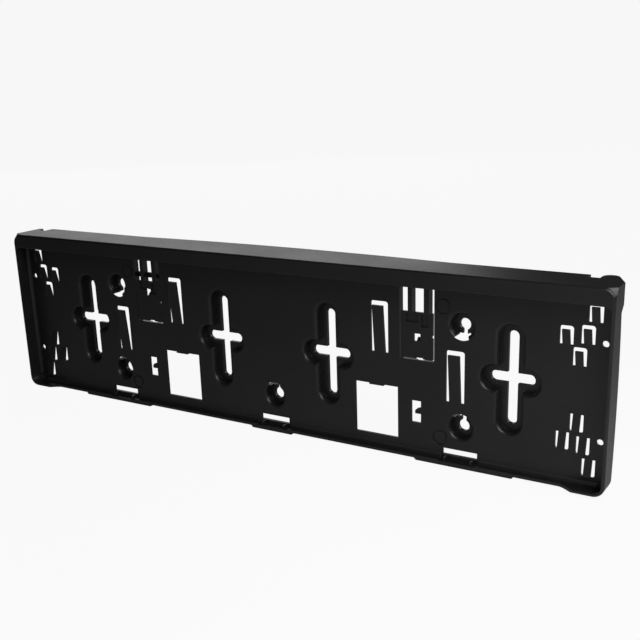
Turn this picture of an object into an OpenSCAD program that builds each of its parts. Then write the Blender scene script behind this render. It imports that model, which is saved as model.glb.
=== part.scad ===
// Number plate holder: one injection-moulded piece of black plastic, held to a bumper with screws.
// The origin is on the front face of the panel, midway between the four corner screw holes.
// X runs to the right as the holder is looked at, Y runs back to the bumper, and Z runs up.
// Places called left, right, top and bottom are those of the holder seen from the front.

/* [Overall size] */
// Width over the two side walls
holder_w = 530; // [500:1:560]
// Height of the top face above the screw line
top_rise = 72.5; // [71:0.1:80]
// Depth of the bottom face below the screw line
bottom_drop = 67.2; // [66:0.1:74]
// Radius of the four outer corners, seen from the front
corner_r = 8; // [5:0.5:11]

/* [Walls] */
// Thickness of the panel
panel_t = 2; // [1.6:0.1:2.4]
// Thickness of the rim
wall_t = 2.2; // [1.8:0.1:2.8]
// How far the rim stands in front of the panel
rim_depth = 13; // [10:0.5:16]
// Rounding of the rim's outer front edge
edge_r = 1.8; // [0.8:0.1:2.4]
// Fillet where the panel meets the rim
root_r = 3; // [1:0.5:4]

/* [Hood over the plate's top edge] */
// Height of the hood's front band
hood_h = 12; // [9:0.2:14]
// Radius of the opening's two upper corners
mouth_corner_r = 4.5; // [2:0.5:8]
// Distance from the panel's front face to the back edge of the top face
flange_back = 22; // [16:0.5:26]
// How far the back edge bows out in its middle stretch
flange_bow = 5.5; // [2:0.1:7]
// Half length of the bowed stretch
flange_bow_half = 140; // [100:1:170]
// How far behind the front edge the rounded upper corners have turned sharp
corner_relief_l = 4; // [2:0.5:6]

/* [Ears at the rear corners of the top face] */
// Distance from the panel's front face to the back of the right ear's tip
ear_back = 25.8; // [23:0.2:28]
// Radius of the right ear's tip
ear_tip_r = 5.5; // [4:0.1:6]
// Distance of that tip's centre from the outside of the side wall
ear_tip_in = 12.5; // [11:0.1:14]
// Width of the notch beside the right ear
right_notch_w = 8; // [5:0.5:12]
// Distance from the panel's front face to the right notch's floor
right_notch_back = 14.5; // [12:0.5:17]
// Width of the left ear
left_ear_w = 5; // [4:0.1:7]
// Distance from the panel's front face to the left ear's back edge
left_ear_back = 19.5; // [17:0.5:21]
// Radius of the left ear's two corners
left_ear_r = 1.5; // [0.5:0.1:1.9]
// Width of the notch beside the left ear
left_notch_w = 8.5; // [5:0.5:12]
// Distance from the panel's front face to the left notch's floor
left_notch_back = 13; // [11:0.5:16]

/* [Back edge of the side walls] */
// Distance from the panel's front face to the back edge beside each ear
cheek_back = 7; // [5:0.5:10]
// Height of that deeper part of the side wall, from the top face down
cheek_h = 18.3; // [14:0.1:24]
// Distance from the panel's front face to the back edge at mid height
side_back = 5.7; // [4:0.1:8]
// How much the back edge curves away towards the top and bottom
side_bow = 3.2; // [1:0.1:3.6]

/* [Sill under the plate] */
// How far the bottom wall stands in front of the panel
sill_front = 6; // [4:0.5:8]
// Distance from the panel's front face to the bottom wall's back edge
sill_back = 8; // [6:0.5:12]
// Length of the curve that takes the sill forward at each corner
sill_ramp = 15; // [8:1:18]
// Distance from the outside of the side wall to the end of that curve
sill_ramp_gap = 18; // [14:1:24]
// Depth of the three pads under the sill
pad_drop = 1.6; // [1:0.1:3]
// Half length of the middle pad
mid_pad_half = 20; // [16:1:30]
// Inner end of each outer pad, from the middle
outer_pad_from = 125; // [110:1:140]
// Outer end of each outer pad, from the middle
outer_pad_to = 201; // [180:1:210]

/* [Strip slots along the sill] */
// Length of each slot
strip_slot_l = 26.4; // [20:0.2:32]
// Height of each slot
strip_slot_h = 4.8; // [4.2:0.1:5.2]
// Web between the slot and the inside of the sill
strip_slot_web = 2.5; // [2:0.1:3.2]
// Width of the pocket below each slot
strip_pocket_l = 28.4; // [26:0.2:36]
// Depth of that pocket into the sill
strip_pocket_d = 0.8; // [0.4:0.1:1.2]
// Thickness of the two ribs in each pocket
strip_rib_t = 1.4; // [1:0.1:2]
// Distance of each rib from the pocket's middle
strip_rib_x = 10.2; // [7:0.1:11]
// How far a rib's front end stands back from the sill's front edge
strip_rib_in = 1.4; // [0.5:0.1:3]

/* [Cross pockets] */
// Distance of the inner crosses from the middle
inner_cross_x = 50; // [45:1:58]
// Distance of the outer crosses from the middle
outer_cross_x = 193.8; // [186:0.2:200]
// Width of the slots, for a 7 mm screw shank or less
slot_w = 7.5; // [5:0.1:9]
// Length of the upright slot
slot_v = 66.8; // [50:0.2:70]
// Length of the level slot
slot_h = 32; // [24:0.2:34]
// Depth of a pocket's floor behind the panel's front face
pocket_depth = 7; // [5:0.5:9]
// Thickness of the pocket's floor
pocket_floor = 3; // [2:0.2:4]
// Inner radius of a cross pocket's lobes
lobe_r = 8.7; // [8:0.1:9.4]
// Wall of the bosses behind the panel
boss_wall = 2; // [1.5:0.1:2.2]
// Rounding of a pocket's mouth
mouth_r = 2.8; // [1:0.1:3]
// Floor left beyond the end of a slot
slot_land = 5; // [3:0.2:6]

/* [Keyhole pockets] */
// Distance of the outer keyholes from the middle
key_x = 158.4; // [154:0.2:162]
// Height of the upper keyholes above the screw line
key_up = 33.9; // [32:0.1:37]
// Depth of the lower keyholes below the screw line
key_down = 40.8; // [38:0.1:42]
// Inner radius of a keyhole pocket
key_pocket_r = 8.3; // [7.6:0.1:8.8]
// Radius of the round head hole
key_head_r = 4.2; // [3:0.1:4.6]
// Width of the neck below the head hole
key_neck_w = 3.6; // [2:0.1:4.5]
// Distance from the head's centre to the near side of the crescent
crescent_in = 7.1; // [5.6:0.1:7.6]
// Half of the crescent's opening angle
crescent_half = 33; // [25:1:50]
// Floor left between the crescent and the pocket's edge
crescent_edge = 0.4; // [0.2:0.1:0.8]

/* [Corner screw holes] */
// Distance of the holes from the outside of the side walls
corner_hole_in = 8; // [7:0.1:9.5]
// Distance of the holes above and below the screw line
corner_hole_z = 33.4; // [30:0.1:38]
// Diameter of the holes
corner_hole_d = 4.5; // [3:0.1:5]

/* [Windows] */
// Inner side of each window, from the middle
window_x = 73.9; // [70:0.1:76]
// Width of each window
window_w = 35.4; // [30:0.2:38]
// Height of each window
window_h = 39.5; // [34:0.1:41]
// Upper edge of each window, below the screw line
window_top = 17.3; // [16:0.1:20]
// How far the small lip hangs into the window
window_lip = 1.1; // [0.5:0.1:2]

/* [Large spring tongues] */
// Width of the cut-out round a large tongue
big_cut_w = 14.1; // [13:0.1:16]
// Height of that cut-out
big_cut_h = 38.2; // [34:0.1:40]
// Width of the tongue
big_tongue_w = 8.6; // [6:0.1:10]
// Gap above the tongue's tip
big_tip_gap = 2.7; // [1.5:0.1:6]
// How far the tip leans forward
big_lean = 3.2; // [1:0.1:4]
// Inner side of the two inner cut-outs, from the middle
big_inner_x = 87.7; // [84:0.1:89]
// Lower end of the two inner cut-outs, above the screw line
big_inner_low = 7.2; // [4:0.1:10]
// Inner side of the two outer cut-outs, from the middle
big_outer_x = 147.1; // [144:0.1:152]
// Lower end of the two outer cut-outs, above the screw line
big_outer_low = -22.6; // [-25:0.1:-20]
// Rounding of every tongue cut-out's upper corners
cut_r = 2; // [0.4:0.1:3]

/* [Small spring tongues] */
// Width of the cut-out round a small tongue
small_cut_w = 9.3; // [8:0.1:9.6]
// Height of that cut-out
small_cut_h = 12.8; // [11:0.1:13.2]
// Width of the tongue
small_tongue_w = 5; // [4:0.1:6]
// Gap above the tongue's tip
small_tip_gap = 2.2; // [1.5:0.1:4]
// The same gap at the lower tongues' tips
small_low_gap = 0.8; // [0.5:0.1:2]
// How far the tip leans forward
small_lean = 2.5; // [0.5:0.1:3]

/* [Spring latches] */
// Distance of the right latch's middle line from the middle of the holder
latch_x = 124.5; // [122:0.1:126]
// Distance of the left latch's middle line from the middle of the holder
left_latch_x = 123.4; // [121:0.1:126]
// Width of the latch plate with its gaps
latch_w = 27.1; // [25:0.1:29]
// Lower end of the latch's cut-out
latch_low = 5.2; // [3:0.1:8]
// Height of the latch plate, from its lower end to the slots
latch_h = 35; // [32:0.1:38]
// Gap round the latch plate
latch_gap = 1.1; // [0.6:0.1:1.4]
// Upper end of the slots above the latch plate
latch_slot_top = 64; // [60:0.5:66]
// Width of the first slot, from the latch's left side
latch_slot_a_w = 6.6; // [5:0.1:8]
// Width of the bar between the first slot and the next
latch_bar_w = 3.3; // [2.5:0.1:4]
// Width of the slot between the two bars
latch_slot_b_w = 9.1; // [8:0.1:10]
// Width of the last slot, up to the latch's right side
latch_slot_c_w = 4; // [3:0.1:5]
// Width of the latch's hole
latch_hole_w = 5.2; // [4.5:0.1:6.5]
// Height of the latch's hole
latch_hole_h = 5.8; // [5:0.1:7]
// Left side of the latch's hole, from the latch's middle line
latch_hole_x = -2.3; // [-3.5:0.1:-1.5]
// Rise of the right latch's hole above the plate's lower end
latch_hole_up = 13.7; // [9:0.1:14]
// Rise of the left latch's hole above the plate's lower end
left_hole_up = 22.6; // [20:0.1:24]
// Width of the ramp in the latch's hole
latch_ramp_w = 2.8; // [2:0.1:3.6]
// How far the ramp stands out behind the panel
latch_ramp_back = 1.6; // [1:0.1:3]
// Length of the ramp, up the hole
latch_ramp_l = 3; // [2:0.1:4]
// Thickness of the ribs behind the latch and beside it
latch_rib_t = 1.4; // [1:0.1:2]
// Depth of those ribs behind the panel
latch_rib_d = 4; // [2:0.1:6]
// Depth of the low rib under the latch's gap
latch_foot_d = 1.5; // [0.8:0.1:3]
// Depth of the latch plate's two shallow recesses
latch_recess_d = 1.3; // [0.4:0.1:1.5]
// Height of the keeper bar behind the left latch's slots
keeper_h = 4.2; // [2:0.1:5]
// Depth of the keeper bar
keeper_d = 1.8; // [1.2:0.1:4]
// Rise of the keeper bar above the latch plate
keeper_up = 2.2; // [1.5:0.1:4]
// How far the keeper bar runs past the latch on each side
keeper_reach = 3; // [2:0.1:5]

/* [Hook holes] */
// Width of each hook hole
hook_hole_w = 7.7; // [6:0.1:9]
// Height of each hook hole
hook_hole_h = 16.7; // [12:0.1:18]
// Lower end of each hook hole
hook_hole_low = -42.2; // [-44:0.1:-40]
// Middle line of each hook hole, from the latch's middle line
hook_hole_x = -0.5; // [-2:0.1:1]
// Length of the hook
hook_l = 4.6; // [3:0.1:5.2]
// Height of the hook at its root
hook_h = 5.4; // [4.5:0.1:7]
// Height of the hook at its nose
hook_nose_h = 2.4; // [1.5:0.1:3.2]
// Rise of the hook's lower edge above the hole's lower end
hook_up = 7; // [6:0.1:8]

/* [Rear ribs] */
// Thickness of the gussets under the top face
gusset_t = 1.6; // [1.2:0.1:2.4]
// How far down the panel a gusset reaches
gusset_h = 13; // [8:0.5:16]
// How far back a gusset reaches
gusset_d = 17; // [10:0.5:20]

/* [Ejector marks] */
// Outer radius of the ring that an ejector pin leaves
ring_mark_r = 5.9; // [4:0.1:6.5]
// Width of the ring
ring_mark_w = 1.4; // [0.4:0.1:2]
// Depth of the ring
ring_mark_d = 0.7; // [0.1:0.05:1]

/* [Hidden] */
$fn = 64;
half_w = holder_w / 2;
inner_half = half_w - wall_t;
lip_z = top_rise - hood_h;
bead_r = wall_t / 2;
sill_in = wall_t - bottom_drop;
boss_back = pocket_depth + pocket_floor;
cross_x = [-outer_cross_x, -inner_cross_x, inner_cross_x, outer_cross_x];
keyholes_up = [[-key_x, key_up], [key_x, key_up]];
keyholes_down = [[-key_x, -key_down], [0, -key_down], [key_x, -key_down]];
strip_slot_x = [-key_x, 0, key_x];
corner_hole_x = half_w - corner_hole_in;
// Inner side, from the outside of the side wall, and lower end of each small cut-out
small_cuts = [[28.8, 16.4], [38, 30.1], [24, 31.7], [19.6, 46.6]];
gusset_x = [20, 76, 172, 214];
ring_marks = [[144.6, 47], [143, -50.2]];
// Where the side wall's back edge starts to bow out, just behind the ends of the bow
side_land = side_back - side_bow + 0.05;
// Furthest back that the top face and its ears reach
deepest = max(flange_back + flange_bow, ear_back, left_ear_back);
// Distances from a cross's centre to the round ends of its lobes
lobe_v = slot_v / 2 + slot_land - lobe_r;
lobe_h = slot_h / 2 + slot_land - lobe_r;
// Place of each latch, and the rise of its hole
latches = [[-left_latch_x, left_hole_up], [latch_x, latch_hole_up]];
// How far the ribs behind the bars reach down the latch plate
latch_bar_foot = 5;
// Nicks in the latch plate's lower and right edges
latch_nick_x = -0.6;
latch_nick_w = 5.4;
latch_nick_d = 0.8;
latch_side_nick_up = 17;
latch_side_nick_h = 2;
// Left side, rise, width and height of each shallow recess in the latch plate
latch_recess_boxes = [[-8.4, 27.6, 9, 6.2], [3.6, 24.6, 5, 9]];
far = 200;
eps = 0.01;
plastic = [0.07, 0.07, 0.075];

// The same thing on the left and on the right
module both_sides() {
    children();
    mirror([1, 0, 0]) children();
}

// An outline in X and Z given a thickness from y0 back to y1
module slab(y0, y1) {
    translate([0, y1, 0]) rotate([90, 0, 0]) linear_extrude(y1 - y0) children();
}

// A slot outline with round ends, lying level
module stadium(half_len, r) {
    if (half_len > 0) translate([-half_len, -r]) square([2 * half_len, 2 * r]);
    for (x = [-half_len, half_len]) translate([x, 0]) circle(r);
}

// The holder's front outline, drawn in by an inset
module outline(inset) {
    w = half_w - inset;
    up = top_rise - inset;
    down = bottom_drop - inset;
    r = corner_r - inset;
    translate([-w + r, -down]) square([2 * (w - r), up + down]);
    translate([-w, -down + r]) square([2 * w, up + down - 2 * r]);
    for (x = [-w + r, w - r], z = [-down + r, up - r]) translate([x, z]) circle(r);
}

// What is cut from a square upper corner: round at the front, turning sharp further back
module corner_relief(y0) {
    l = corner_relief_l;
    translate([half_w - corner_r, y0, top_rise - corner_r]) rotate([-90, 0, 0]) difference() {
        translate([0, -corner_r - 1, -1]) cube([corner_r + 1, corner_r + 1, l + 1]);
        cylinder(h = l + eps, r1 = corner_r, r2 = corner_r * sqrt(2));
        translate([0, 0, -2]) cylinder(h = 3, r = corner_r);
    }
}

// A solid of the front outline whose front edge is rounded all round
module rounded_block(y0, y1) {
    cx = half_w - corner_r;
    up = top_rise - corner_r;
    down = corner_r - bottom_drop;
    slab(y0 + edge_r, y1) outline(0);
    both_sides() difference() {
        translate([cx, y0 + edge_r, up]) cube([corner_r, y1 - y0 - edge_r, corner_r]);
        corner_relief(y0 + edge_r);
    }
    slab(y0, y0 + 2 * edge_r) outline(edge_r);
    for (z = [top_rise - edge_r, edge_r - bottom_drop])
        translate([-cx, y0 + edge_r, z]) rotate([0, 90, 0]) cylinder(h = 2 * cx, r = edge_r);
    for (x = [edge_r - half_w, half_w - edge_r])
        translate([x, y0 + edge_r, down]) cylinder(h = up - down, r = edge_r);
    for (x = [-cx, cx], z = [up, down])
        translate([x, y0 + edge_r, z]) rotate([90, 0, 0])
            rotate_extrude() translate([corner_r - edge_r, 0]) circle(edge_r);
}

// The opening in the front, as wide as the dish, with room for the bead on the hood's lower edge
module mouth_outline() {
    cx = inner_half - mouth_corner_r;
    r = mouth_corner_r + bead_r;
    intersection() {
        union() {
            translate([-inner_half, sill_in + corner_r])
                square([2 * inner_half, lip_z - mouth_corner_r - sill_in - corner_r]);
            translate([-cx, 0]) square([2 * cx, lip_z + bead_r]);
            for (x = [-cx, cx]) translate([x, lip_z - mouth_corner_r]) circle(r);
            outline_below();
        }
        translate([-inner_half, -far]) square([2 * inner_half, 2 * far]);
    }
}

// The lower half of the dish's inner outline
module outline_below() {
    intersection() {
        outline(wall_t);
        translate([-far * 2, -far]) square([far * 4, far]);
    }
}

// The round bead along the hood's lower edge and round its two corners
module hood_bead() {
    cx = inner_half - mouth_corner_r;
    y = bead_r - rim_depth;
    translate([-cx, y, lip_z + bead_r]) rotate([0, 90, 0]) cylinder(h = 2 * cx, r = bead_r);
    both_sides()
        translate([cx, y, lip_z - mouth_corner_r]) rotate([90, 0, 0])
            rotate_extrude(angle = 90) translate([mouth_corner_r + bead_r, 0]) circle(bead_r);
}

// Plan of the top face's back edge: bowed in the middle, with a notch and an ear at each end
module flange_plan() {
    left_x = -half_w + left_ear_w;
    right_x = half_w - ear_tip_in - ear_tip_r;
    left_end = left_x + left_notch_w;
    right_end = right_x - right_notch_w;
    bow_r = (pow(flange_bow_half, 2) + pow(flange_bow, 2)) / (2 * flange_bow);
    translate([left_end, -rim_depth]) square([right_end - left_end, rim_depth + flange_back]);
    intersection() {
        translate([0, flange_back + flange_bow - bow_r]) circle(bow_r, $fn = 720);
        translate([-flange_bow_half - 5, 0]) square([2 * flange_bow_half + 10, far]);
    }
    translate([left_x - 1, -rim_depth]) square([left_notch_w + 2, rim_depth + left_notch_back]);
    translate([right_end - 1, -rim_depth]) square([right_notch_w + 2, rim_depth + right_notch_back]);
    left_ear_plan();
    right_ear_plan();
}

module left_ear_plan() {
    r = left_ear_r;
    translate([-half_w, -rim_depth]) square([left_ear_w, rim_depth + left_ear_back - r]);
    translate([-half_w + r, 0]) square([left_ear_w - 2 * r, left_ear_back]);
    for (x = [r, left_ear_w - r]) translate([x - half_w, left_ear_back - r]) circle(r);
}

// The right ear: a round tip, and a flank that runs from it to the back edge of the side wall
module right_ear_plan() {
    x = half_w - ear_tip_in;
    y = ear_back - ear_tip_r;
    drop = y - cheek_back;
    turn = acos(ear_tip_r / norm([ear_tip_in, drop])) - atan(drop / ear_tip_in);
    translate([x, y]) circle(ear_tip_r);
    polygon([
        [x - ear_tip_r, -rim_depth],
        [half_w, -rim_depth],
        [half_w, cheek_back],
        [x + ear_tip_r * cos(turn), y + ear_tip_r * sin(turn)],
        [x, y],
        [x - ear_tip_r, y]
    ]);
}

// Side view of the side wall's back edge, with y to the right and z up
module side_profile() {
    low = -bottom_drop;
    high = top_rise - cheek_h;
    half = (high - low) / 2;
    bow_r = (pow(half, 2) + pow(side_bow, 2)) / (2 * side_bow);
    translate([-rim_depth, low]) square([rim_depth + side_land, top_rise - low]);
    intersection() {
        translate([side_back - bow_r, low + half]) circle(bow_r, $fn = 720);
        translate([0, low]) square([far, high - low]);
    }
    translate([-rim_depth, high + cheek_back - side_land]) square([rim_depth + cheek_back, cheek_h]);
    polygon([
        [0, high],
        [side_land, high],
        [cheek_back, high + cheek_back - side_land],
        [0, high + cheek_back - side_land]
    ]);
}

// What is kept behind the panel: the top face to its plan, the sides to their profile, the sill
module back_limits() {
    translate([0, 0, top_rise - wall_t]) linear_extrude(wall_t + 1) flange_plan();
    both_sides()
        translate([inner_half - 1, 0, 0]) rotate([90, 0, 90])
            linear_extrude(wall_t + 2) side_profile();
    translate([-half_w, -rim_depth, -bottom_drop - 1]) {
        cube([holder_w, rim_depth + sill_back, wall_t + 1]);
        cube([holder_w, rim_depth + panel_t, bottom_drop + top_rise + 2]);
    }
    both_sides() corner_core(top_rise - corner_r, cheek_back);
    both_sides() corner_core(-bottom_drop, side_land);
}

// Keeps the rim whole where it turns a corner, from height z up
module corner_core(z, back) {
    translate([half_w - corner_r, -rim_depth, z]) cube([corner_r, rim_depth + back, corner_r]);
}

// Plan of the front of the sill: straight in the middle, then an S-curve forward to each corner
module sill_front_plan() {
    x_end = half_w - sill_ramp_gap;
    x_start = x_end - sill_ramp;
    rise = rim_depth - sill_front;
    steps = 14;
    curve = [
        for (i = [0:steps])
            [x_start + sill_ramp * i / steps, -sill_front - rise * (1 - cos(180 * i / steps)) / 2]
    ];
    ends = [[x_end, -rim_depth - 1], [-eps, -rim_depth - 1]];
    both_sides() polygon(concat([[-eps, -sill_front]], curve, ends));
}

// The dish without its holes: rim, hood, panel and the fillets between them
module dish() {
    difference() {
        intersection() {
            rounded_block(-rim_depth, deepest);
            back_limits();
        }
        slab(-rim_depth - 1, -rim_depth + wall_t + eps) mouth_outline();
        slab(-rim_depth + wall_t, 0) outline(wall_t);
        slab(panel_t, deepest + 1) outline(wall_t);
        translate([0, 0, -bottom_drop - 1]) linear_extrude(corner_r + root_r) sill_front_plan();
    }
    intersection() {
        hood_bead();
        translate([-half_w + edge_r, -rim_depth, 0]) cube([holder_w - 2 * edge_r, rim_depth, top_rise]);
    }
}

// Section of the fillet between the panel's front face and a wall
module fillet_section() {
    difference() {
        translate([-root_r, -root_r]) square([root_r + 1, root_r + 1]);
        translate([-root_r, -root_r]) circle(root_r);
    }
}

// Fillets between the panel and the sill, and between the panel and the side walls
module root_fillets() {
    long = half_w - corner_r;
    translate([-long, 0, sill_in]) rotate([0, 90, 0]) linear_extrude(2 * long) fillet_section();
    both_sides()
        translate([inner_half, 0, corner_r - bottom_drop])
            linear_extrude(top_rise + bottom_drop - 2 * corner_r) fillet_section();
}

// Half section of a pocket cutter: the radius to the right, the depth up, and a rounded mouth
module pocket_section(r) {
    square([r, pocket_depth]);
    difference() {
        translate([0, -1]) square([r + mouth_r, mouth_r + 1]);
        translate([r + mouth_r, mouth_r]) circle(mouth_r);
    }
}

// A pocket with round ends, cut back into the panel along X
module pocket_cut(half_len, r) {
    for (x = [-half_len, half_len])
        translate([x, 0, 0]) rotate([-90, 0, 0]) rotate_extrude() pocket_section(r);
    if (half_len > 0)
        translate([-half_len, 0, 0]) rotate([0, 90, 0]) linear_extrude(2 * half_len)
            both_sides() pocket_section(r);
}

// The boss behind such a pocket
module boss(half_len, r) {
    slab(panel_t / 2, boss_back) stadium(half_len, r + boss_wall);
}

module cross_bosses() {
    for (x = cross_x) translate([x, 0, 0]) {
        rotate([0, 90, 0]) boss(lobe_v, lobe_r);
        boss(lobe_h, lobe_r);
    }
}

module cross_cuts() {
    for (x = cross_x) translate([x, 0, 0]) {
        rotate([0, 90, 0]) pocket_cut(lobe_v, lobe_r);
        pocket_cut(lobe_h, lobe_r);
        slab(0, boss_back + 1) {
            stadium((slot_h - slot_w) / 2, slot_w / 2);
            rotate(90) stadium((slot_v - slot_w) / 2, slot_w / 2);
        }
    }
}

module keyhole_bosses() {
    for (p = concat(keyholes_up, keyholes_down)) translate([p[0], 0, p[1]]) boss(0, key_pocket_r);
}

// Round head hole, its neck, and the crescent near the pocket's edge
module keyhole_outline() {
    outer = key_pocket_r + mouth_r - crescent_edge;
    circle(key_head_r);
    translate([-key_neck_w / 2, -crescent_in - 1]) square([key_neck_w, crescent_in + 1]);
    crescent(crescent_in, outer);
}

// A ring sector below the centre
module crescent(r_in, r_out) {
    reach = r_out * 1.6;
    intersection() {
        difference() {
            circle(r_out);
            circle(r_in);
        }
        polygon([[0, 0], [reach * sin(crescent_half), -reach * cos(crescent_half)], [0, -reach],
            [-reach * sin(crescent_half), -reach * cos(crescent_half)]]);
    }
}

module keyhole_cut() {
    pocket_cut(0, key_pocket_r);
    slab(0, boss_back + 1) keyhole_outline();
    slab(panel_t, boss_back + 1) crescent(crescent_in, key_pocket_r + boss_wall + 1);
}

module keyhole_cuts() {
    for (p = keyholes_up) translate([p[0], 0, p[1]]) keyhole_cut();
    for (p = keyholes_down) translate([p[0], 0, p[1]]) mirror([0, 0, 1]) keyhole_cut();
}

// Cut-out round a spring tongue, with its inner lower corner at the origin
module tongue_cut(w, h) {
    slab(-far, panel_t + 1) {
        square([w, h - cut_r]);
        translate([cut_r, 0]) square([w - 2 * cut_r, h]);
        for (x = [cut_r, w - cut_r]) translate([x, h - cut_r]) circle(cut_r);
    }
}

// A spring tongue in that cut-out, joined to the panel at its lower end and leaning forward
module tongue(cut_w, cut_h, w, tip_gap, lean) {
    tip = cut_h - tip_gap;
    translate([(cut_w - w) / 2, 0, 0]) rotate([90, 0, 90]) linear_extrude(w)
        polygon([[0, -1], [panel_t, -1], [panel_t, 0], [panel_t - lean, tip], [-lean, tip], [0, 0]]);
}

// Each large tongue's place, above the screw line and below it
module at_big_tongues() {
    for (p = [[big_inner_x, big_inner_low], [big_outer_x, big_outer_low]])
        both_sides() translate([p[0], 0, p[1]]) children();
}

// Each small tongue's place, the lower ones pointing down
module at_small_tongues(down) {
    for (p = small_cuts) both_sides() mirror([0, 0, down])
        translate([half_w - p[0], 0, p[1]]) children();
}

// Outline of the narrow gap round the latch plate and the three slots above it
module latch_outline(hole_up) {
    top = latch_low + latch_h;
    left = -latch_w / 2;
    right = latch_w / 2;
    translate([left, latch_low]) square([latch_gap, latch_h + eps]);
    translate([right - latch_gap, latch_low]) square([latch_gap, latch_h + eps]);
    translate([left, latch_low]) square([latch_w, latch_gap]);
    rise = latch_slot_top - top;
    translate([left, top]) square([latch_slot_a_w, rise]);
    translate([left + latch_slot_a_w + latch_bar_w, top]) square([latch_slot_b_w, rise]);
    translate([right - latch_slot_c_w, top]) square([latch_slot_c_w, rise]);
    translate([latch_hole_x, latch_low + hole_up]) square([latch_hole_w, latch_hole_h]);
    translate([latch_nick_x, latch_low]) square([latch_nick_w, latch_gap + latch_nick_d]);
    translate([right - latch_gap - latch_nick_d, latch_low + latch_side_nick_up])
        square([latch_gap + latch_nick_d, latch_side_nick_h]);
}

// The latch plate's two shallow recesses
module latch_recesses() {
    for (b = latch_recess_boxes)
        translate([b[0], -1, latch_low + b[1]]) cube([b[2], 1 + latch_recess_d, b[3]]);
}

// Ribs behind the two bars and beside the first slot, and the low rib under the plate's gap
module latch_ribs() {
    left = -latch_w / 2;
    right = latch_w / 2;
    bar_a = left + latch_slot_a_w + latch_bar_w - latch_rib_t;
    bar_b = right - latch_slot_c_w - latch_rib_t;
    low = latch_low + latch_h - latch_bar_foot;
    high = latch_slot_top - low + eps;
    y = panel_t - eps;
    foot = latch_low - latch_rib_t;
    translate([left - latch_rib_t, y, foot]) cube([latch_rib_t, latch_rib_d, latch_slot_top - foot]);
    for (x = [bar_a, bar_b]) translate([x, y, low]) cube([latch_rib_t, latch_rib_d, high]);
    translate([left - eps, y, foot]) cube([latch_nick_x - left + eps, latch_foot_d, latch_rib_t]);
    translate([latch_nick_x + latch_nick_w, y, foot])
        cube([right - latch_nick_x - latch_nick_w, latch_foot_d, latch_rib_t]);
}

// The small ramp in the latch's hole
module latch_ramp(hole_up) {
    x = latch_hole_x + latch_hole_w - latch_ramp_w + eps;
    back = panel_t + latch_ramp_back;
    translate([x, 0, latch_low + hole_up]) rotate([90, 0, 90]) linear_extrude(latch_ramp_w)
        polygon([[0, -1], [panel_t, -1], [back, latch_ramp_l - 0.8], [back - 1.4, latch_ramp_l], [0, 0.4]]);
}

// The keeper bar that crosses behind the left latch's slots
module keeper() {
    z = latch_low + latch_h + keeper_up;
    translate([-left_latch_x - latch_w / 2 - keeper_reach, panel_t + latch_rib_d - keeper_d, z])
        cube([latch_w + 2 * keeper_reach, keeper_d, keeper_h]);
    for (x = [-latch_w / 2 - keeper_reach, latch_w / 2 + keeper_reach - latch_rib_t])
        translate([x - left_latch_x, panel_t - eps, z]) cube([latch_rib_t, latch_rib_d, keeper_h]);
}

module hook_hole() {
    slab(-1, panel_t + 1)
        translate([hook_hole_x - hook_hole_w / 2, hook_hole_low]) square([hook_hole_w, hook_hole_h]);
}

// The hook that reaches into a hook hole from its right side
module hook() {
    knee = (hook_h + hook_nose_h) / 2;
    translate([hook_hole_x + hook_hole_w / 2 - hook_l, 0, hook_hole_low + hook_up])
        slab(0, panel_t)
            polygon([[0, 0], [hook_l + 1, 0], [hook_l + 1, hook_h], [hook_l / 3, knee], [0, hook_nose_h]]);
}

// One window with the small lip that hangs from the middle of its upper edge
module window_cut() {
    z = -window_top - window_h;
    third = window_w / 3;
    slab(-1, panel_t + 1) difference() {
        translate([window_x, z]) square([window_w, window_h]);
        translate([window_x + third, -window_top - window_lip]) square([third, window_lip + 1]);
    }
}

// A slot for the retaining strip's clip, and the shallow pocket below it
module strip_slot_cut() {
    low = sill_in + strip_slot_web;
    slab(-root_r - 1, panel_t + 1) translate([-strip_slot_l / 2, low]) square([strip_slot_l, strip_slot_h]);
    translate([-strip_pocket_l / 2, -sill_front - 1, sill_in - strip_pocket_d])
        cube([strip_pocket_l, sill_front + 1, strip_pocket_d + root_r]);
}

// The two ribs that stand in that pocket
module strip_ribs() {
    for (x = [-strip_rib_x, strip_rib_x])
        translate([x - strip_rib_t / 2, strip_rib_in - sill_front, sill_in - strip_pocket_d])
            cube([strip_rib_t, sill_front - strip_rib_in + eps, strip_pocket_d + 2]);
}

// A pad under the sill with sloping ends
module sill_pad(x0, x1) {
    translate([0, sill_back, -bottom_drop]) rotate([90, 0, 0]) linear_extrude(sill_front + sill_back)
        polygon([[x0, eps], [x0 + pad_drop, -pad_drop], [x1 - pad_drop, -pad_drop], [x1, eps]]);
}

module sill_pads() {
    sill_pad(-mid_pad_half, mid_pad_half);
    both_sides() sill_pad(outer_pad_from, outer_pad_to);
}

// Gussets between the panel's back and the underside of the top face
module gussets() {
    for (x = gusset_x) both_sides()
        translate([x - gusset_t / 2, panel_t - eps, top_rise - wall_t + eps]) rotate([90, 0, 90])
            linear_extrude(gusset_t) polygon([[0, 0], [gusset_d, 0], [0, -gusset_h]]);
}

// Shallow round marks that the ejector pins leave
module ring_mark() {
    slab(-1, ring_mark_d) difference() {
        circle(ring_mark_r);
        circle(ring_mark_r - ring_mark_w);
    }
}

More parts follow.
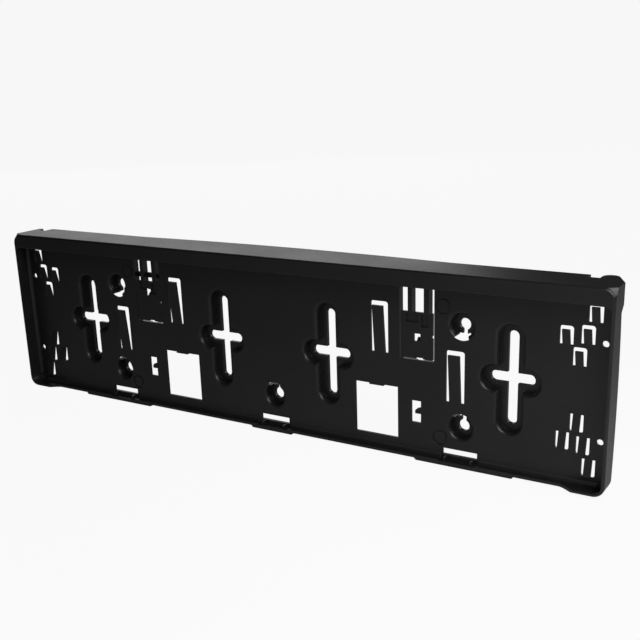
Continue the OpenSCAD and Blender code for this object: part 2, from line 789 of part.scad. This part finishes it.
module plate_holder() {
    color(plastic) {
        difference() {
            union() {
                dish();
                root_fillets();
                cross_bosses();
                keyhole_bosses();
                sill_pads();
            }
            cross_cuts();
            keyhole_cuts();
            both_sides() window_cut();
            at_big_tongues() tongue_cut(big_cut_w, big_cut_h);
            for (down = [0, 1]) at_small_tongues(down) tongue_cut(small_cut_w, small_cut_h);
            for (p = latches) translate([p[0], 0, 0]) {
                slab(-1, panel_t + 1) latch_outline(p[1]);
                latch_recesses();
                hook_hole();
            }
            for (x = strip_slot_x) translate([x, 0, 0]) strip_slot_cut();
            for (x = [-corner_hole_x, corner_hole_x], z = [-corner_hole_z, corner_hole_z])
                translate([x, -1, z]) rotate([-90, 0, 0]) cylinder(h = panel_t + 2, d = corner_hole_d);
            for (p = ring_marks) both_sides() translate([p[0], 0, p[1]]) ring_mark();
        }
        at_big_tongues() tongue(big_cut_w, big_cut_h, big_tongue_w, big_tip_gap, big_lean);
        at_small_tongues(0) tongue(small_cut_w, small_cut_h, small_tongue_w, small_tip_gap, small_lean);
        at_small_tongues(1) tongue(small_cut_w, small_cut_h, small_tongue_w, small_low_gap, small_lean);
        for (p = latches) translate([p[0], 0, 0]) {
            latch_ramp(p[1]);
            latch_ribs();
            hook();
        }
        for (x = strip_slot_x) translate([x, 0, 0]) strip_ribs();
        keeper();
        gussets();
    }
}

plate_holder();
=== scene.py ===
import bpy
import numpy as np
from mathutils import Matrix, Vector


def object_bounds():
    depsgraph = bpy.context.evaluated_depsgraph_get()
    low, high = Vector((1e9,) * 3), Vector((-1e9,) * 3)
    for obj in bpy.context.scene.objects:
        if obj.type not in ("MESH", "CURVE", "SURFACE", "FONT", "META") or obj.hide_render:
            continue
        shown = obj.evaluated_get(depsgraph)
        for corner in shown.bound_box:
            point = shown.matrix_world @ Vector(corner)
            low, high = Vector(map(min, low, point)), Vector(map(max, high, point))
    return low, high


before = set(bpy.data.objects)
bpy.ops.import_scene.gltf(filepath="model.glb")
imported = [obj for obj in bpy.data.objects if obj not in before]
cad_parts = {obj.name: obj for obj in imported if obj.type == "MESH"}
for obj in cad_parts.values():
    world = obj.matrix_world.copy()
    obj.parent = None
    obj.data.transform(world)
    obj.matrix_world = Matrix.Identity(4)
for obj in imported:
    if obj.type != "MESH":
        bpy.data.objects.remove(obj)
cad_low, cad_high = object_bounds()
scene = bpy.context.scene
scene.view_settings.view_transform = "Standard"


# The moulded holder
#
# One injection moulding of black polypropylene: a shallow dish with a hooded upper edge, standing on
# the pads of its sill. The mould's fine eroded grain leaves the plastic satin, cooling leaves faint
# cloudy patches in its black and in its sheen, and handling leaves it a little uneven.

PLASTIC = (0.0085, 0.0085, 0.0090, 1.0)
PLASTIC_CLOUDED = (0.0125, 0.0125, 0.0130, 1.0)
PLASTIC_IOR = 1.5
CLOUD_SIZE = 0.055
CLOUD_ROUGHNESS = (0.40, 0.34)
RUBBED_SCALE = 420.0
RUBBED_ROUGHNESS = (-0.03, 0.03)
GRAIN_SIZE = 0.00045
GRAIN_DEPTH = 0.00004
GRAIN_STRENGTH = 0.30
EDGE_ROUND = 0.0004
EDGE_SAMPLES = 6
NOISE_LOW, NOISE_HIGH = 0.3, 0.7


def node(tree, kind, **inputs):
    """A node of that kind in a material's tree, with the named sockets set or linked."""
    made = tree.nodes.new(kind)
    for name, value in inputs.items():
        socket = made.inputs[name.replace("_", " ")]
        if isinstance(value, bpy.types.NodeSocket):
            tree.links.new(value, socket)
        else:
            socket.default_value = value
    return made


def spread(tree, value, low, high):
    """A noise value, which lies mostly between NOISE_LOW and NOISE_HIGH, stretched to run from low to high."""
    made = node(tree, "ShaderNodeMapRange", Value=value,
                From_Min=NOISE_LOW, From_Max=NOISE_HIGH, To_Min=low, To_Max=high)
    return made.outputs["Result"]


black = bpy.data.materials.new("satin_black_moulding")
black.use_nodes = True
tree = black.node_tree
shader = tree.nodes["Principled BSDF"]
shader.inputs["IOR"].default_value = PLASTIC_IOR
place = tree.nodes.new("ShaderNodeTexCoord").outputs["Object"]

clouds = node(tree, "ShaderNodeTexNoise", Vector=place, Scale=1 / CLOUD_SIZE, Detail=3.0, Roughness=0.5)
grain = node(tree, "ShaderNodeTexNoise", Vector=place, Scale=1 / GRAIN_SIZE, Detail=2.0, Roughness=0.6)
rubbed = node(tree, "ShaderNodeTexNoise", Vector=place, Scale=RUBBED_SCALE, Detail=4.0, Roughness=0.65)

tint = tree.nodes.new("ShaderNodeMix")
tint.data_type = "RGBA"
tint.inputs["A"].default_value = PLASTIC
tint.inputs["B"].default_value = PLASTIC_CLOUDED
tree.links.new(spread(tree, clouds.outputs["Fac"], 0.0, 1.0), tint.inputs["Factor"])
tree.links.new(tint.outputs["Result"], shader.inputs["Base Color"])

uneven = tree.nodes.new("ShaderNodeMath")
uneven.operation = "ADD"
tree.links.new(spread(tree, clouds.outputs["Fac"], *CLOUD_ROUGHNESS), uneven.inputs[0])
tree.links.new(spread(tree, rubbed.outputs["Fac"], *RUBBED_ROUGHNESS), uneven.inputs[1])
tree.links.new(uneven.outputs["Value"], shader.inputs["Roughness"])

rounded = node(tree, "ShaderNodeBevel", Radius=EDGE_ROUND)
rounded.samples = EDGE_SAMPLES
skin = node(tree, "ShaderNodeBump", Strength=GRAIN_STRENGTH, Distance=GRAIN_DEPTH,
            Height=grain.outputs["Fac"], Normal=rounded.outputs["Normal"])
tree.links.new(skin.outputs["Normal"], shader.inputs["Normal"])

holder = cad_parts["plate_holder"]
holder.data.materials.clear()
holder.data.materials.append(black)


# The white table
#
# A plain matt table of one pale grey under the sill's pads. Most of what the camera sees of it is
# plain white, and the rest keeps the holder's shadow.

TABLE_HALF = 4.0
TABLE_TONE = (0.60, 0.60, 0.60, 1.0)
WHITE = (1.0, 1.0, 1.0, 1.0)
WHITE_SHARE = 0.93

corners = np.array([(-1, -1, 0), (1, -1, 0), (1, 1, 0), (-1, 1, 0)], float) * TABLE_HALF
corners[:, 2] = float(cad_low.z)
table_mesh = bpy.data.meshes.new("table")
table_mesh.from_pydata(corners.tolist(), [], [(0, 1, 2, 3)])
table = bpy.data.objects.new("table", table_mesh)
scene.collection.objects.link(table)

pale = bpy.data.materials.new("table_white")
pale.use_nodes = True
tree = pale.node_tree
shader = tree.nodes["Principled BSDF"]
shader.inputs["Base Color"].default_value = TABLE_TONE
shader.inputs["Roughness"].default_value = 1.0
shader.inputs["Specular IOR Level"].default_value = 0.0
seen = tree.nodes.new("ShaderNodeLightPath")
white = node(tree, "ShaderNodeEmission", Color=WHITE, Strength=1.0)
share = tree.nodes.new("ShaderNodeMath")
share.operation = "MULTIPLY"
share.inputs[1].default_value = WHITE_SHARE
tree.links.new(seen.outputs["Is Camera Ray"], share.inputs[0])
shown = tree.nodes.new("ShaderNodeMixShader")
tree.links.new(share.outputs["Value"], shown.inputs["Fac"])
tree.links.new(shader.outputs["BSDF"], shown.inputs[1])
tree.links.new(white.outputs["Emission"], shown.inputs[2])
tree.links.new(shown.outputs["Shader"], tree.nodes["Material Output"].inputs["Surface"])
table_mesh.materials.append(pale)


# The studio
#
# White all round for the camera, as white as the table's far edge so that no line shows where they
# meet, with a faint even light from every side. One large soft lamp behind and to the left is mirrored
# by the top of the hood, a soft key stands near on the right, and two weak fills stand in front and
# behind.

ROOM_LIGHT = 0.02
ROOM_SEEN = WHITE_SHARE

room = bpy.data.worlds.new("studio")
room.use_nodes = True
scene.world = room
tree = room.node_tree
background = tree.nodes["Background"]
background.inputs["Color"].default_value = WHITE
seen = tree.nodes.new("ShaderNodeLightPath")
level = node(tree, "ShaderNodeMapRange", Value=seen.outputs["Is Camera Ray"], To_Min=ROOM_LIGHT, To_Max=ROOM_SEEN)
tree.links.new(level.outputs["Result"], background.inputs["Strength"])


def softbox(name, place, aim, width, height, watts):
    """A flat soft lamp at place that faces aim, width by height metres."""
    lamp = bpy.data.lights.new(name, "AREA")
    lamp.shape = "RECTANGLE"
    lamp.size, lamp.size_y, lamp.energy = width, height, watts
    made = bpy.data.objects.new(name, lamp)
    made.location = place
    made.rotation_mode = "QUATERNION"
    made.rotation_quaternion = (Vector(aim) - Vector(place)).to_track_quat("-Z", "Y")
    scene.collection.objects.link(made)


softbox("back_left", (-1.36, 1.61, 0.62), (-0.1, 0.0, 0.05), 1.6, 1.0, 4.8)
softbox("key_right", (0.55, -0.25, 0.45), (0.15, -0.15, -0.07), 0.5, 0.5, 3.8)
softbox("fill_front", (-0.3, -2.0, 0.45), (0.0, 0.0, 0.0), 1.6, 0.8, 2.0)
softbox("fill_back", (1.3, 1.7, 0.8), (0.0, 0.0, 0.0), 1.2, 1.0, 8.0)


# The camera
#
# Where the photograph was taken from, in front, to the right and a little above. The focal length and
# the height of the picture's optical middle are in pixels of its 640.

PICTURE = 640
FOCAL = 965.23
MIDDLE = 367.38
PLACE = (0.41493, -0.59053, 0.20889)
RIGHT = Vector((0.85111, 0.52407, -0.03102))
DOWN = Vector((0.13286, -0.27219, -0.95303))
AHEAD = Vector((-0.50790, 0.80701, -0.30129))

lens = bpy.data.cameras.new("camera")
lens.sensor_width = 36.0
lens.lens = lens.sensor_width * FOCAL / PICTURE
lens.shift_y = (MIDDLE - PICTURE / 2) / PICTURE
lens.clip_start, lens.clip_end = 0.05, 50.0
camera = bpy.data.objects.new("camera", lens)
turn = Matrix((RIGHT, -DOWN, -AHEAD)).transposed().to_4x4()
camera.matrix_world = Matrix.Translation(PLACE) @ turn
scene.collection.objects.link(camera)
scene.camera = camera
